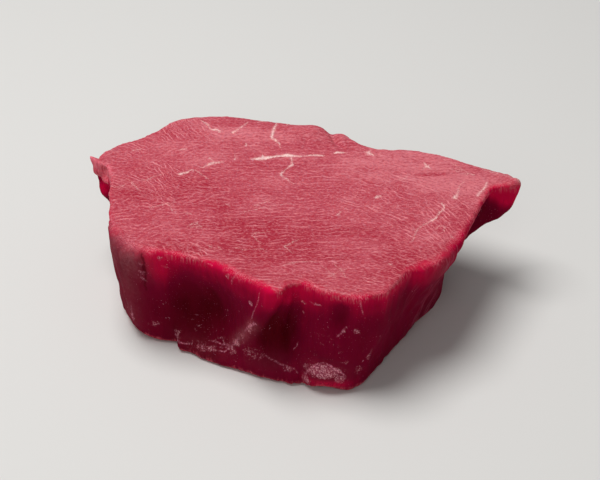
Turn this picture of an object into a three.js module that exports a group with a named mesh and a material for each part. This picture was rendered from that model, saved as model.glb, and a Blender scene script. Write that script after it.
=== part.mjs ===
// A raw tournedos: one thick slice of lean beef, cut level above and below, lying on its lower cut face.
// Millimetres, +Z up. +X runs along the slice's longest side, and -Y is the side with two hollows.
// The origin is the middle of the slice's own box, on the surface that it lies on.
import * as THREE from "three";

// Driving dimensions
const thickness = 31; // from the lower cut face to the upper one
const rimRound = 1.3; // rounding where the upper cut meets the wall
const footRound = 1.6; // rounding where the wall meets the surface under it
const grainDepth = 0.22; // height of the muscle bundles that show as ridges down the wall
const grainPitch = 5.5; // from one such ridge to the next
const grainSlant = 0.4; // how far such a ridge drifts along the wall for each millimetre of height

// Fineness of the faceted solid
const columns = 168; // steps round the outline
const wallSteps = 10; // steps up the wall
const roundSteps = 3; // steps round each rounded edge
const topRings = [0.94, 0.85, 0.73, 0.58, 0.41, 0.22, 0]; // share of the way from the middle to the rim
const floorRings = [0, 0.5, 0.88]; // the same under the slice, to its foot

// The rim of the upper cut, anticlockwise from above: x, y, and how far the foot of the wall stands nearer to
// the middle than that. A negative lean is a foot that spreads out past its rim.
const stations = [
  // left side, from a torn flap to the front corner
  { x: -56.3, y: 18, lean: 11 },
  { x: -55.8, y: 17.35, lean: 10.5 },
  { x: -54, y: 16.6, lean: 8.5 },
  { x: -51.8, y: 15.3, lean: 4.5 },
  { x: -51.2, y: 12, lean: 2.2 },
  { x: -50.6, y: 7, lean: 2 },
  { x: -49.8, y: -3, lean: 1.6 },
  { x: -49, y: -13.2, lean: 4 },
  { x: -45.2, y: -19.8, lean: 5 },
  // front, over the two hollows and the ridge between them
  { x: -39, y: -22, lean: 3.7 },
  { x: -34, y: -22.6, lean: 2.4 },
  { x: -30, y: -24, lean: 0.6 },
  { x: -20, y: -29, lean: 0.5 },
  { x: -13, y: -33.5, lean: 0.9 },
  { x: -5.8, y: -38, lean: 1.4 },
  { x: -1.3, y: -35, lean: -2.8 },
  { x: 4.5, y: -38, lean: -0.6 },
  { x: 13.5, y: -40.5, lean: 1.6 },
  { x: 20, y: -38, lean: 5.6 },
  { x: 25.5, y: -31.5, lean: 6.5 },
  // right side, leaning out to the overhanging nose
  { x: 33.2, y: -26.6, lean: 10.3 },
  { x: 38.8, y: -18.5, lean: 10.6 },
  { x: 42.9, y: -9.7, lean: 9.2 },
  { x: 46.2, y: -2.2, lean: 9.6 },
  { x: 49.2, y: 4.3, lean: 14.5 },
  { x: 50, y: 5.7, lean: 15.8 },
  { x: 51.5, y: 6.1, lean: 17.2 },
  { x: 56.9, y: 7.8, lean: 21 },
  { x: 56, y: 11.2, lean: 19 },
  // back
  { x: 49, y: 15.5, lean: 13 },
  { x: 40, y: 20.6, lean: 8 },
  { x: 30, y: 24.8, lean: 5 },
  { x: 22, y: 25, lean: 4.5 },
  { x: 17.5, y: 27.2, lean: 4.5 },
  { x: 13.4, y: 30.6, lean: 5 },
  { x: 11, y: 32.5, lean: 5 },
  { x: 7.6, y: 32.6, lean: 4 },
  { x: 5, y: 36, lean: 4.5 },
  { x: 1.5, y: 36.2, lean: 4 },
  { x: -1.2, y: 35.3, lean: 3.5 },
  { x: -7, y: 37.8, lean: 3 },
  { x: -18, y: 41, lean: 4 },
  { x: -34, y: 40, lean: 5 },
  { x: -43, y: 31.2, lean: 6 },
  { x: -51.5, y: 26, lean: 8 },
  { x: -53.6, y: 21.5, lean: 9.5 },
  { x: -54.8, y: 19.2, lean: 10.5 },
];

// Swellings and hollows of the wall: where on the rim they lie under, the height of their middle, half their
// width and height, how far they stand out, and how far they shift along the wall for each millimetre upwards.
const wallForms = [
  { name: "left hollow", x: -26, y: -26, height: 16, wide: 9, tall: 9.5, out: -5.4, shift: 0 },
  { name: "right hollow", x: -3.6, y: -36.5, height: 15, wide: 5.6, tall: 9.5, out: -6, shift: 0.3 },
  { name: "skirt", x: -22, y: -28, height: 0, wide: 8.5, tall: 5, out: 2.2, shift: 0 },
  { name: "skirt corner", x: -31.5, y: -23.5, height: 0, wide: 2.4, tall: 5, out: 1.8, shift: 0 },
  { name: "skirt notch", x: -36, y: -22.4, height: 0, wide: 2.2, tall: 5, out: -1, shift: 0 },
  { name: "ridge", x: -11, y: -34.5, height: 15, wide: 3.2, tall: 12, out: 2, shift: 0.35 },
  { name: "lip", x: 5.5, y: -38.5, height: 4, wide: 4.5, tall: 3, out: 1.3, shift: 0 },
  { name: "corner dimple", x: 9, y: -40, height: 23, wide: 2.4, tall: 4.5, out: -1.8, shift: 0 },
  { name: "corner notch", x: 27, y: -30, height: 27, wide: 2, tall: 6, out: -1, shift: 0 },
  { name: "corner lobe", x: 31.5, y: -26, height: 25, wide: 4, tall: 6, out: 0.9, shift: 0 },
  { name: "crease", x: -38.5, y: -22, height: 21, wide: 1.3, tall: 6, out: -1.4, shift: -0.1 },
  { name: "corner swell", x: 19, y: -38.5, height: 17, wide: 8, tall: 11, out: 1.4, shift: 0 },
  { name: "left swell", x: -46, y: -18, height: 13, wide: 6, tall: 10, out: 1.5, shift: 0 },
  { name: "nose lobe", x: 56, y: 8.5, height: 25, wide: 8, tall: 5, out: 3.4, shift: 0 },
  { name: "nose belly", x: 54.5, y: 7.3, height: 20.5, wide: 4.5, tall: 3.8, out: 3.8, shift: 0 },
  { name: "nose scoop", x: 51, y: 6.5, height: 15, wide: 11, tall: 8, out: -3, shift: 0 },
  { name: "right swell", x: 37.5, y: -20.5, height: 27, wide: 9, tall: 5, out: 1.9, shift: 0 },
  { name: "right undercut", x: 44, y: -5, height: 15, wide: 7, tall: 7, out: -2.6, shift: 0 },
  { name: "flap fold", x: -55.5, y: 17.8, height: 23, wide: 4, tall: 4.5, out: 1.6, shift: 0 },
  { name: "back hollow", x: -9, y: 37, height: 15, wide: 9, tall: 10, out: -3.4, shift: 0.2 },
  { name: "back ridge", x: 4, y: 35, height: 13, wide: 4, tall: 12, out: 1.2, shift: 0.3 },
  { name: "back dent", x: 23, y: 23, height: 13, wide: 7, tall: 9, out: -2.4, shift: -0.2 },
  { name: "back swell", x: -36, y: 38, height: 14, wide: 9, tall: 10, out: 1.6, shift: 0 },
];

// Places where the rim rounds over more softly, and where the foot lifts off the surface.
const softRims = [
  { name: "left corner", x: -47, y: -17, wide: 7, more: 2.6 },
  { name: "right side", x: 39, y: -18, wide: 9, more: 2.2 },
  { name: "nose", x: 57, y: 9, wide: 4, more: 1.2 },
  { name: "back lump", x: 4, y: 35, wide: 6, more: 1.6 },
];
const footLifts = [{ name: "lip", x: 5.5, y: -38.5, wide: 3.6, lift: 1.3 }];
const liftFade = 8; // how quickly such a lift dies away up the wall

// Rises and dips of the upper cut.
const topForms = [
  { name: "middle dip", x: -4, y: -4, wide: 26, rise: -0.7 },
  { name: "back muscle", x: 2, y: 32, wide: 6, rise: 0.9 },
  { name: "back left rise", x: -26, y: 34, wide: 12, rise: 0.8 },
  { name: "nose tip", x: 57, y: 9.5, wide: 3.5, rise: 0.5 },
  { name: "flap curl", x: -58, y: 18, wide: 4, rise: 0.9 },
  { name: "left droop", x: -50, y: -16, wide: 8, rise: -0.9 },
];

const bell = (distance, width) => Math.exp(-((distance / width) ** 2));
const mix = THREE.MathUtils.lerp;
const quarterTurn = Math.PI / 2;
const middle = new THREE.Vector3(-1, 1, 0);

function heightOfTop(x, y) {
  const rises = topForms.map((form) => form.rise * bell(Math.hypot(x - form.x, y - form.y), form.wide));
  return thickness + rises.reduce((sum, rise) => sum + rise, 0);
}

// The rim as a closed curve, which carries the lean of the wall as its third coordinate.
const rimCurve = new THREE.CatmullRomCurve3(
  stations.map(({ x, y, lean }) => new THREE.Vector3(x, y, lean)),
  true,
  "centripetal",
);
const rimLength = rimCurve.getLength();

// One column of the wall for each step round the outline. It stays on its own line out from the middle.
const wallColumns = Array.from({ length: columns }, (_, i) => {
  const { x, y, z: lean } = rimCurve.getPointAt(i / columns);
  const rim = new THREE.Vector3(x, y, 0);
  const outward = rim.clone().sub(middle).normalize();
  const foot = rim.clone().addScaledVector(outward, -lean);
  return { rim, foot, outward, distance: (i / columns) * rimLength };
});

// Distance along the rim of the column that stands nearest a place, for each form of the wall.
function distanceAt({ x, y }) {
  const gaps = wallColumns.map(({ rim }) => Math.hypot(rim.x - x, rim.y - y));
  return wallColumns[gaps.indexOf(Math.min(...gaps))].distance;
}
for (const form of [...wallForms, ...softRims, ...footLifts]) form.distance = distanceAt(form);

// How far along the rim a column is from a form, the short way round.
function stepsAside(column, form) {
  const gap = column.distance - form.distance;
  return gap - rimLength * Math.round(gap / rimLength);
}

function standsOut(column, height) {
  let out = 0;
  for (const form of wallForms) {
    const up = height - form.height;
    const aside = stepsAside(column, form) - form.shift * up;
    out += form.out * bell(aside, form.wide) * bell(up, form.tall);
  }
  const wave = Math.sin((4 * quarterTurn * (column.distance + grainSlant * height)) / grainPitch);
  const fade = Math.sin(Math.PI * THREE.MathUtils.clamp(height / thickness, 0, 1));
  return out + grainDepth * wave * fade;
}

const sumOf = (column, forms, size) =>
  forms.reduce((sum, form) => sum + form[size] * bell(stepsAside(column, form), form.wide), 0);

// A point of the wall: its place between foot and rim, moved in by the rounded edges and out by the forms.
function wallPoint(column, share, inset) {
  const height = share * heightOfTop(column.rim.x, column.rim.y);
  const lifted = height + sumOf(column, footLifts, "lift") * (1 - share) ** liftFade;
  const point = column.foot.clone().lerp(column.rim, share);
  point.addScaledVector(column.outward, standsOut(column, height) - inset);
  return point.setZ(lifted);
}

// The points of the slice from the middle of its underside, up the wall, to the middle of the upper cut.
const shares = (count) => Array.from({ length: count + 1 }, (_, i) => i / count);

function floorPoint(column, share) {
  return middle.clone().lerp(wallPoint(column, 0, footRound), share).setZ(0);
}

function footPoint(column, turn) {
  const up = footRound * (1 - Math.cos(turn));
  return wallPoint(column, up / thickness, footRound * (1 - Math.sin(turn)));
}

function rimPoint(column, turn) {
  const radius = rimRound + sumOf(column, softRims, "more");
  const down = radius * (1 - Math.sin(turn));
  return wallPoint(column, 1 - down / thickness, radius * (1 - Math.cos(turn)));
}

function topPoint(column, share) {
  const point = middle.clone().lerp(rimPoint(column, quarterTurn), share);
  return point.setZ(heightOfTop(point.x, point.y));
}

function wallRow(column, share) {
  const low = footPoint(column, quarterTurn);
  const high = rimPoint(column, 0);
  const height = mix(low.z, high.z, share);
  return wallPoint(column, height / heightOfTop(column.rim.x, column.rim.y), 0);
}

// Each row is a function of the column that it crosses.
const rows = [
  ...floorRings.map((share) => (column) => floorPoint(column, share)),
  ...shares(roundSteps).map((share) => (column) => footPoint(column, share * quarterTurn)),
  ...shares(wallSteps).slice(1, -1).map((share) => (column) => wallRow(column, share)),
  ...shares(roundSteps).map((share) => (column) => rimPoint(column, share * quarterTurn)),
  ...topRings.map((share) => (column) => topPoint(column, share)),
];

// A lathe turns a round slab with that many rows, and each of its points then moves to its place on the slice.
function sliceGeometry() {
  const profile = rows.map((_, i) => new THREE.Vector2(Math.sin((Math.PI * i) / (rows.length - 1)), i));
  const slab = new THREE.LatheGeometry(profile, columns);
  const position = slab.getAttribute("position");
  for (let i = 0; i <= columns; i++) {
    rows.forEach((place, j) => {
      const { x, y, z } = place(wallColumns[i % columns]);
      position.setXYZ(i * rows.length + j, x, y, z);
    });
  }
  slab.computeBoundingBox();
  const centre = slab.boundingBox.getCenter(new THREE.Vector3());
  slab.translate(-centre.x, -centre.y, -slab.boundingBox.min.z);
  slab.computeVertexNormals();
  return slab;
}

const rawBeef = new THREE.MeshStandardMaterial({ color: 0xb23a4c, roughness: 0.38, metalness: 0 });
const steak = new THREE.Mesh(sliceGeometry(), rawBeef);
steak.name = "steak";

const tournedos = new THREE.Group();
tournedos.add(steak);

export default tournedos;
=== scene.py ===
import itertools
import math
import bpy
import bmesh
import numpy as np
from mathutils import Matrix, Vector
from mathutils.bvhtree import BVHTree
from mathutils.kdtree import KDTree


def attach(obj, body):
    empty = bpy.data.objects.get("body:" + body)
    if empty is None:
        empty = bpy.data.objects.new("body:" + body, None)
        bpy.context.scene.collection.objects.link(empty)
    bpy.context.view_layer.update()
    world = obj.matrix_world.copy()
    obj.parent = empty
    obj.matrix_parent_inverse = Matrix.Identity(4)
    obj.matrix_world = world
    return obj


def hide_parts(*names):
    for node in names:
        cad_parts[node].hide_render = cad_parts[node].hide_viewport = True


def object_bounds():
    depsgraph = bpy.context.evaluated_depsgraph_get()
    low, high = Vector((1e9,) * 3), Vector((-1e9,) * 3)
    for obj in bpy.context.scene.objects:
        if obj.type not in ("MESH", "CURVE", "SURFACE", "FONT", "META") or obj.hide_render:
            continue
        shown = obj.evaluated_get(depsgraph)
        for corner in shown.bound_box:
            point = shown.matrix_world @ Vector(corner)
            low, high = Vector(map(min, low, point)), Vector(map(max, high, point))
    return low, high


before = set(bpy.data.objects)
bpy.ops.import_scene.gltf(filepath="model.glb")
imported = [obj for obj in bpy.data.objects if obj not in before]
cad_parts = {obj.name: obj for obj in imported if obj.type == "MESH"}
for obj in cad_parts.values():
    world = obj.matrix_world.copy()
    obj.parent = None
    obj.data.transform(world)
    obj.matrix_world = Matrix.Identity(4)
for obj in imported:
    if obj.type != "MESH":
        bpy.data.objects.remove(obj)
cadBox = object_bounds()
mm = 0.001
print("frame loaded")


# camera, at the photograph's own angle
shot = {
    "elevation": 36,  # degrees above the floor
    "distance": 425,  # mm from the point that it looks at
    "aim": (-1.1, 3.5, 15.5),  # mm, the point in the middle of the picture
    "lens": 96,  # mm
    "sensor": 36,  # mm across the picture's width
    "photo": (600, 480),  # pixels
}


def makeCamera():
    tilt = math.radians(shot["elevation"])
    back = Vector((0, -math.cos(tilt), math.sin(tilt)))
    data = bpy.data.cameras.new("photoView")
    data.lens = shot["lens"]
    data.sensor_width = shot["sensor"]
    data.clip_start = 0.01
    camera = bpy.data.objects.new("photoView", data)
    camera.location = (Vector(shot["aim"]) + back * shot["distance"]) * mm
    camera.rotation_mode = "QUATERNION"
    camera.rotation_quaternion = (-back).to_track_quat("-Z", "Y")
    bpy.context.scene.collection.objects.link(camera)
    bpy.context.scene.camera = camera
    return camera


camera = makeCamera()
eye = camera.location / mm


def sightLine(pixel):  # unit direction from the eye through a pixel of the photograph
    width, height = shot["photo"]
    reach = shot["lens"] / shot["sensor"] * width
    ray = Vector((pixel[0] - width / 2, height / 2 - pixel[1], -reach))
    return (camera.rotation_quaternion @ ray).normalized()


print("camera set")


# fine mesh of the slice
beef = {
    "pitch": 0.49,  # mm from vertex to vertex
    "settle": 6,  # rounds of smoothing over the facets of the solid
    "fibreHeight": 0.04,  # mm
    "lump": 0.30,  # mm, unevenness of the wall
    "cutLump": 0.12,  # mm, unevenness of the cuts
    "groove": 0.20,  # mm, depth of the grooves down the wall
    "flute": 0.16,  # mm, depth of the fine grooves under the rim
    "fray": 0.20,  # mm, raggedness of the rim
    "wear": 60,  # rounds of smoothing where the rim is worn round
    "hollow": 160,  # rounds of smoothing, against which a hollow of the wall shows
    "wisp": 1.0,  # mm, reach of the pull that draws out a torn wisp
}


lattice = {  # whole numbers that scramble a lattice point and a seed
    "wrap": 2 ** 32,
    "seedFactor": 2654435761,
    "mixFactor": 2246822519,
    "primes": (73856093, 19349663, 83492791),  # one for each axis
}


def latticeNoise(points, seed):  # smooth noise from -1 to 1 on a lattice of whole numbers
    wrap = lattice["wrap"]
    cell = np.floor(points).astype(np.int64)
    part = points - cell
    fade = part * part * (3 - 2 * part)
    total = np.zeros(len(points))
    for corner in itertools.product((0, 1), repeat=points.shape[1]):
        share = np.prod(np.where(corner, fade, 1 - fade), axis=1)
        mixed = np.full(len(points), seed * lattice["seedFactor"] % wrap, np.int64)
        for axis, prime in zip(range(points.shape[1]), lattice["primes"]):
            mixed = (mixed ^ ((cell[:, axis] + corner[axis]) * prime)) & (wrap - 1)
            mixed = (mixed * lattice["mixFactor"]) & (wrap - 1)
            mixed ^= mixed >> 15
        total += share * (mixed / (wrap / 2) - 1)
    return total


def ramp(values, start, end):  # 0 at start, 1 at end, smooth between them
    share = np.clip((values - start) / (end - start), 0, 1)
    return share * share * (3 - 2 * share)


def bell(values, width):  # 1 at 0, fading over the width to both sides
    return np.exp(-((values / width) ** 2))


def fineCopy(node):  # a fine, even mesh over the solid's own
    mesh = node.data.copy()
    work = bmesh.new()
    work.from_mesh(mesh)
    bmesh.ops.remove_doubles(work, verts=work.verts, dist=0.001 * mm)
    work.to_mesh(mesh)
    work.free()
    draft = bpy.data.objects.new("draft", mesh)
    bpy.context.scene.collection.objects.link(draft)
    rounded = draft.modifiers.new("rounded", "SUBSURF")
    rounded.levels = rounded.render_levels = 1
    fine = draft.modifiers.new("fine", "REMESH")
    fine.mode = "VOXEL"
    fine.voxel_size = beef["pitch"] * mm
    settled = draft.modifiers.new("settled", "SMOOTH")
    settled.factor = 0.5
    settled.iterations = beef["settle"]
    graph = bpy.context.evaluated_depsgraph_get()
    final = bpy.data.meshes.new_from_object(draft.evaluated_get(graph))
    piece = bpy.data.objects.new("beefSlice", final)
    bpy.context.scene.collection.objects.link(piece)
    bpy.data.objects.remove(draft)
    piece.data.materials.clear()
    return piece


piece = fineCopy(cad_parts["steak"])
count = len(piece.data.vertices)
spots = np.zeros(count * 3)
piece.data.vertices.foreach_get("co", spots)
spots = spots.reshape(-1, 3) / mm
facing = np.zeros(count * 3, np.float32)
piece.data.vertex_normals.foreach_get("vector", facing)
facing = facing.reshape(-1, 3).astype(float)
links = np.zeros(len(piece.data.edges) * 2, np.int32)
piece.data.edges.foreach_get("vertices", links)
links = links.reshape(-1, 2)
print("fine mesh:", count, "vertices")


def soften(values, rounds):  # each vertex takes on its neighbours' mean
    one, other = links.T
    crowd = np.bincount(one, minlength=count) + np.bincount(other, minlength=count)
    for _ in range(rounds):
        near = np.bincount(one, values[other], count) + np.bincount(other, values[one], count)
        values = 0.5 * values + 0.5 * near / crowd
    return values


def softened(rounds):  # the slice's own shape, smoothed
    return np.stack([soften(spots[:, axis], rounds) for axis in range(3)], axis=1)


def treeOf(points):  # for finding the nearest of some points
    tree = KDTree(len(points))
    for i, point in enumerate(points):
        tree.insert(point, i)
    tree.balance()
    return tree


def distanceTo(chosen):  # mm from each vertex to the nearest chosen one
    tree = treeOf(spots[chosen])
    return np.array([tree.find(spot)[2] for spot in spots])


# where the wall turns into the upper cut, the rim, and into the lower cut, the foot
turns = {
    "slope": 0.62,  # how far the surface faces up or down at the turn, 1 for level
    "spread": 0.1,  # slopes that near still count as the turn
    "rimAbove": 18,  # mm, height that the rim stays above
    "footBelow": 8,  # mm, height that the foot stays below
    "upperCut": 22,  # mm, height that the upper cut stays above
    "lowerCut": 4,  # mm, height that the lower cut stays below
    "blend": 0.6,  # mm to each side of the turn over which cut and wall blend
}
height = spots[:, 2]
upward = soften(facing[:, 2], 4)
slope, spread, blend = turns["slope"], turns["spread"], turns["blend"]
rimBand = (np.abs(upward - slope) < spread) & (height > turns["rimAbove"])
footBand = (np.abs(upward + slope) < spread) & (height < turns["footBelow"])
onUpper = (upward > slope) & (height > turns["upperCut"])
onLower = (upward < -slope) & (height < turns["lowerCut"])
fromRim = distanceTo(rimBand) * np.where(onUpper, 1, -1)  # mm, above 0 on the upper cut
fromFoot = distanceTo(footBand) * np.where(onLower, 1, -1)  # mm, above 0 on the lower cut
onCut = np.maximum(ramp(fromRim, -blend, blend), ramp(fromFoot, -blend, blend))
print("rim and foot found")


# fibres of the cut faces: their course, in degrees from +X
def fibreCourse(x, y):
    slow = np.stack([x * 0.035, y * 0.05], axis=1)
    quick = np.stack([x * 0.11, y * 0.13], axis=1)
    right = ramp(x, 2, 24) * ramp(y, 22, 0)
    frontRight = ramp(x, 18, 36) * ramp(y, 4, -14)
    left = ramp(x, -14, -40)
    course = -30 * right - 30 * frontRight - 14 * left + 12 * latticeNoise(slow, 3)
    return course + (12 + 75 * left) * latticeNoise(quick, 4)


course = fibreCourse(spots[:, 0], spots[:, 1])
print("fibres laid")


surface = bmesh.new()
surface.from_mesh(piece.data)
skin = BVHTree.FromBMesh(surface)
surface.free()


# point of the slice in mm that a pixel of the photograph shows, and the way that it faces there
def touch(pixel):
    ray = sightLine(pixel)
    hit, normal, _, _ = skin.ray_cast(eye * mm, ray)
    if hit is None:  # just past the outline, so the nearest point of the slice
        level = (cadBox[1][2] / mm - eye.z) / ray.z
        hit, normal, _, _ = skin.find_nearest((eye + ray * level) * mm)
    return np.array(hit) / mm, np.array(normal)


def patch(pixel, across, down, turn):  # 1 at the pixel, fading over the two half sizes in mm
    middle, normal = touch(pixel)
    sink = np.array((0, 0, -1)) if abs(normal[2]) < 0.8 else np.array((0, -1, 0))
    fall = sink - normal * (sink @ normal)
    fall = fall / np.linalg.norm(fall)
    side = np.cross(fall, normal)
    lean = math.radians(turn)
    long = fall * math.cos(lean) + side * math.sin(lean)
    wide = side * math.cos(lean) - fall * math.sin(lean)
    away = spots - middle
    reach = np.hypot(away @ wide / across, away @ long / down)
    depth = away @ normal / max(across, down)
    return bell(reach, 1) * bell(depth, 1) * ramp(facing @ normal, -0.1, 0.5)


def painted(patches, blend):  # patches with their strengths, laid over each other
    total = np.zeros(count)
    for pixel, across, down, turn, strength in patches.values():
        total = blend(total, strength * patch(pixel, across, down, turn))
    return total


# each patch below: a pixel of the photograph, half sizes across and down in mm, turn, strength

# where the rim is worn round, and the colour of the cut runs over it
worn = {
    "leftCorner": ((125, 244), 5.0, 6.0, 0, 1.0),
    "leftSide": ((113, 222), 3.5, 5.0, 0, 1.0),
    "leftFront": ((136, 248), 2.5, 2.5, 0, 0.7),
    "rightRim": ((456, 243), 7.0, 3.0, 0, 0.2),
    "cornerLobe": ((421, 265), 3.0, 2.5, 0, 0.5),
}

# torn faces, which look like the cut, with painted light that makes them paler
torn = {
    "flapFace": ((101, 167), 4.0, 3.4, 0, 1.0),
    "flapCurl": ((108, 180), 2.4, 1.0, 0, 0.6),
}

# forms of the wall and the rim, with their height in mm as strength
forms = {
    "leftBulge": ((160, 274), 5.0, 7, 0, 0.9),
    "leftTrench": ((184, 300), 3.0, 9, 0, -0.7),
    "leftBoss": ((208, 288), 3.0, 6, 0, 0.5),
    "midTrench": ((229, 305), 3.0, 9, 0, -0.7),
    "ridgeCrest": ((263, 310), 2.2, 8, 25, 0.6),
    "ridgeFoot": ((249, 336), 3.0, 5, 25, 0.8),
    "hollowEdge": ((276, 318), 1.8, 8, 20, -0.9),
    "cornerBoss": ((333, 345), 4.0, 6, 0, 0.5),
    "cornerDimple": ((343, 312), 1.6, 4, 0, -0.7),
    "lipBoss": ((322, 375), 5.0, 2.5, 0, 0.9),
    "lipGroove": ((322, 359), 6.0, 1.6, 0, -0.8),
    "lipNotch": ((300, 379), 1.4, 4, 0, -1.2),
    "lipEnd": ((352, 381), 2.0, 3, 0, 0.2),
    "skirtEdge": ((205, 352), 7.0, 2.0, 0, 0.5),
    "skirtCorner": ((181, 345), 1.8, 2.4, 0, 0.5),
    "skirtGroove": ((205, 337), 9.0, 2.0, 0, -0.7),
    "crease": ((144, 270), 0.9, 5, 0, -0.6),
    "creaseLip": ((140, 266), 1.2, 5, 0, 0.6),
    "creasePit": ((143, 267), 0.9, 0.9, 0, -0.6),
    "noseLobe": ((501, 211), 4.0, 3.0, 0, 0.9),
    "noseScoop": ((490, 206), 3.0, 3.0, 0, -0.8),
    "noseBead": ((518, 181), 1.2, 1.2, 0, 0.9),
    "flapCurl": ((108, 180.5), 2.2, 0.9, 0, 1.2),
    "flapPocket": ((107, 189), 2.0, 2.0, 0, -0.3),
    "flapDent": ((104, 169.5), 1.0, 1.3, 0, -1.0),
    "flapFold": ((97, 171), 1.2, 1.4, 0, 0.7),
    "flapNotch": ((99.5, 179), 1.1, 1.1, 0, -1.0),
    "pocketBulge": ((105, 192), 1.5, 2.0, 0, 0.9),
    "noseTip": ((514, 187), 2.5, 4.0, 0, 0.7),
    "flapBack": ((107, 155), 3.0, 2.5, 0, 0.9),
    "leftSide": ((119, 275), 3.0, 7, 0, -0.5),
    "leftFoot": ((135, 318), 3.0, 3, 0, 0.5),
    "footDip": ((236, 364), 3.0, 3, 0, -1.0),
    "footMiddle": ((262, 372), 4.0, 3, 0, 0.9),
    "rightHollow": ((458, 252), 4.0, 4, 0, -1.1),
    "rightFoot": ((411, 322), 4.0, 4, 0, 0.6),
    "backMiddle": ((287, 131), 11.0, 5, 0, 1.2),
    "backHump": ((315, 131), 2.8, 3, 0, 0.5),
    "backCleft": ((305.5, 138), 0.8, 4, 0, -0.35),
    "backNotch": ((335.5, 140), 0.9, 3.5, -25, -1.4),
    "backRise": ((342, 137), 2.0, 2.5, 0, 0.5),
}

# torn wisps: the pixel that is drawn out, the pixel that its tip comes to
wisps = {
    "flapTip": ((94.5, 161.5), (90.5, 156.5)),
}


def waves(size, seed):  # noise with so many waves a mm, one number for all axes or one for each
    return latticeNoise(spots * size, seed)


def relief():  # mm that each vertex moves out
    groove = np.array((0.55, 0.55, 0.09))
    lumps = waves(0.16, 21) + 0.5 * waves(0.37, 22)
    grooves = waves(groove, 23) + 0.6 * waves(groove * 2.1, 24)
    flutes = waves((1.25, 1.25, 0.12), 27)
    frays = waves((0.42, 0.42, 0.3), 25) + 0.45 * waves((1.1, 1.1, 0.6), 26)
    fibres = waves((0.5, 1.2, 0.5), 28)
    wall = 1 - onCut
    out = wall * (beef["lump"] * lumps + beef["groove"] * grooves)
    out += wall * beef["flute"] * flutes * ramp(fromRim, -7, -1)
    out += beef["fray"] * frays * bell(fromRim + 0.4, 1.1)
    out += onCut * (beef["fibreHeight"] * fibres + beef["cutLump"] * lumps)
    return out + painted(forms, np.add)


footing = {
    "sideways": (1.5, 5),  # mm, height where the wall moves only sideways, and where it moves freely
    "under": -0.4,  # mm from the foot where the lower cut starts
    "edge": (-1.6, -0.8),  # mm from the foot, the strip of wall that the lower cut follows
    "edgeBelow": 6,  # mm, height that this strip stays below
    "fade": 5,  # mm inside the foot past which the lower cut stays as it is
}


def levelled(push):  # near the floor the wall moves only sideways, and the lower cut follows it
    way = facing.copy()
    low = 1 - ramp(height, *footing["sideways"])
    way[:, 2] *= 1 - low * (1 - onCut)
    way /= np.maximum(np.linalg.norm(way, axis=1), 0.2)[:, None]
    shift = way * push[:, None]
    under = fromFoot > footing["under"]
    shift[under] = 0
    outer, inner = footing["edge"]
    edge = (fromFoot > outer) & (fromFoot < inner) & (height < footing["edgeBelow"])
    tree = treeOf(spots[edge])
    near = np.array([tree.find(spot)[1] for spot in spots[under]])
    fade = 1 - ramp(fromFoot[under], 0, footing["fade"])
    shift[under] = shift[edge][near] * fade[:, None] * (1, 1, 0)
    return shift


def wornRound():  # shift towards a smoother shape where the rim is worn
    share = np.minimum(painted(worn, np.maximum), 1)
    return (softened(beef["wear"]) - spots) * share[:, None]


def drawnOut():  # shift that draws out the wisps
    shift = np.zeros_like(spots)
    for root, tip in wisps.values():
        start, _ = touch(root)
        far = np.linalg.norm(start - np.array(eye))
        end = np.array(eye) + np.array(sightLine(tip)) * far
        near = bell(np.linalg.norm(spots - start, axis=1), beef["wisp"]) ** 2
        shift += near[:, None] * (end - start)
    return shift


moved = spots + levelled(relief()) + wornRound() + drawnOut()
moved[:, 2] = np.maximum(moved[:, 2], 0)
piece.data.vertices.foreach_set("co", (moved * mm).astype(np.float32).ravel())
piece.data.update()
piece.data.shade_smooth()
print("relief done")


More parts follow.
